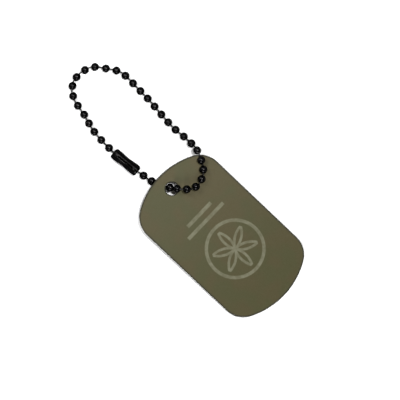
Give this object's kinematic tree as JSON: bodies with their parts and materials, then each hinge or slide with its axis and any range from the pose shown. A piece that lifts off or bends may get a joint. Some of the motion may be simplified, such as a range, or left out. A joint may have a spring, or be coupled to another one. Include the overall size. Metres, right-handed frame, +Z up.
{
  "type": "identification tag on a ball chain loop",
  "caption": "Flat metal identification tag with curved ends and rounded corners, on a closed loop of hollow ball chain that runs through its hole and snaps into a sleeve connector.",
  "frame": {"origin": "on the floor, under the middle of the box round the whole part as it lies", "axes": "+Z up; +Y along the plate's length towards its hole and the chain's loop; +X to the right seen from above"},
  "size_m": [0.0312, 0.091, 0.0061],
  "materials": {
    "tag_metal": "matte anodised, olive drab, softly rounded edges",
    "connector_metal": "glossy black finish on stamped steel",
    "link_metal": "black finish on steel wire",
    "ball_metal": "glossy black finish on thin steel balls"
  },
  "bodies": {
    "root": {"tag": "tag_metal", "connector": "connector_metal", "chain_links": "link_metal", "ball_01": "ball_metal", "ball_02": "ball_metal", "ball_03": "ball_metal", "ball_04": "ball_metal", "ball_05": "ball_metal", "ball_06": "ball_metal", "ball_07": "ball_metal", "ball_08": "ball_metal", "ball_09": "ball_metal", "ball_10": "ball_metal", "ball_11": "ball_metal", "ball_12": "ball_metal", "ball_13": "ball_metal", "ball_14": "ball_metal", "ball_15": "ball_metal", "ball_16": "ball_metal", "ball_17": "ball_metal", "ball_18": "ball_metal", "ball_19": "ball_metal", "ball_20": "ball_metal", "ball_21": "ball_metal", "ball_22": "ball_metal", "ball_23": "ball_metal", "ball_24": "ball_metal", "ball_25": "ball_metal", "ball_26": "ball_metal", "ball_27": "ball_metal", "ball_28": "ball_metal", "ball_29": "ball_metal", "ball_30": "ball_metal", "ball_31": "ball_metal", "ball_32": "ball_metal", "ball_33": "ball_metal", "ball_34": "ball_metal", "ball_35": "ball_metal", "ball_36": "ball_metal"}
  },
  "joints": []
}
